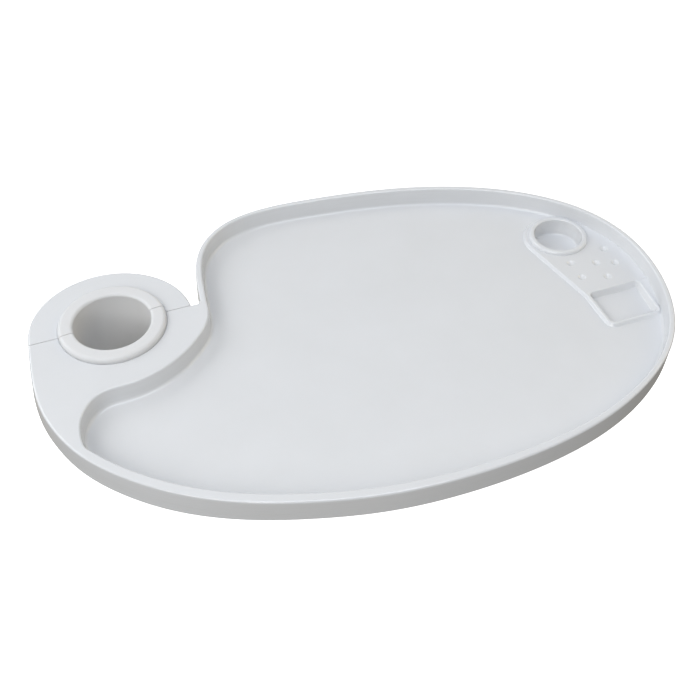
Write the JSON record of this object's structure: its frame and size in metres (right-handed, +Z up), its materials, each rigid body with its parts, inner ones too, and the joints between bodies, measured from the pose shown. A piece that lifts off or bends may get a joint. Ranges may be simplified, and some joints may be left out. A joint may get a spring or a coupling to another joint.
{
  "type": "post-mounted instrument tray",
  "caption": "Oval plastic instrument tray with a dish, a round well and a small recess, on a split collar that clamps and turns round a post.",
  "frame": {"origin": "on the axis of the post bore, level with the top face of the deck", "axes": "+Z up along the post, +X along the collar's parting line to the tray's far end, +Y to the rear where the clamp cap is"},
  "size_m": [0.4272, 0.2809, 0.0536],
  "materials": {
    "moulded_plastic": "cool off-white moulded plastic, satin gloss",
    "bushing_plastic": "off-white moulded bearing plastic, satin gloss",
    "zinc_steel": "zinc-plated steel",
    "insert_brass": "plain brass"
  },
  "bodies": {
    "post_bushing": {"bushing_front": "bushing_plastic", "bushing_rear": "bushing_plastic"},
    "tray": {"tray_body": "moulded_plastic", "clamp_cap": "moulded_plastic", "clamp_screw_left": "zinc_steel", "clamp_screw_right": "zinc_steel", "washer_left": "zinc_steel", "washer_right": "zinc_steel", "insert_left": "insert_brass", "insert_right": "insert_brass"}
  },
  "joints": [
    {"name": "tray_swivel", "type": "hinge", "parent": "post_bushing", "child": "tray", "pos_m": [0, 0, 0], "axis": [0, 0, 1], "continuous": true}
  ]
}
